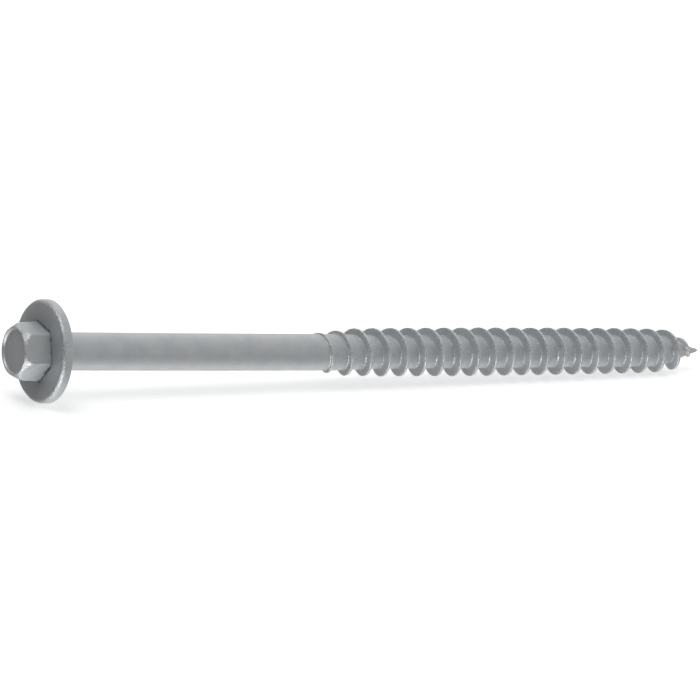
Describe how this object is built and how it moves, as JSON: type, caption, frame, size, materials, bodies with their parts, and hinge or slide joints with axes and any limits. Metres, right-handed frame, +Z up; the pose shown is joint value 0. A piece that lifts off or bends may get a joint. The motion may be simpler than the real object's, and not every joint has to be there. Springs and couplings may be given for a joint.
{
  "type": "lag screw",
  "caption": "Hex washer-head lag screw for timber: drafted hex head forged to a round washer, plain shank, coarse rolled thread and a gimlet point.",
  "frame": {"origin": "on the surface that the screw lies on, below the middle of its length, with its axis in the plane y = 0", "axes": "+X along the screw from the head to the point, dipping 2.06 degrees to the surface as it rests on the washer's rim and the thread; +Z up"},
  "size_m": [0.1597, 0.019, 0.0191],
  "materials": {
    "zinc": "hot-dip galvanised steel, matt grey with a fine mottle"
  },
  "bodies": {
    "root": {"lag_screw": "zinc"}
  },
  "joints": []
}
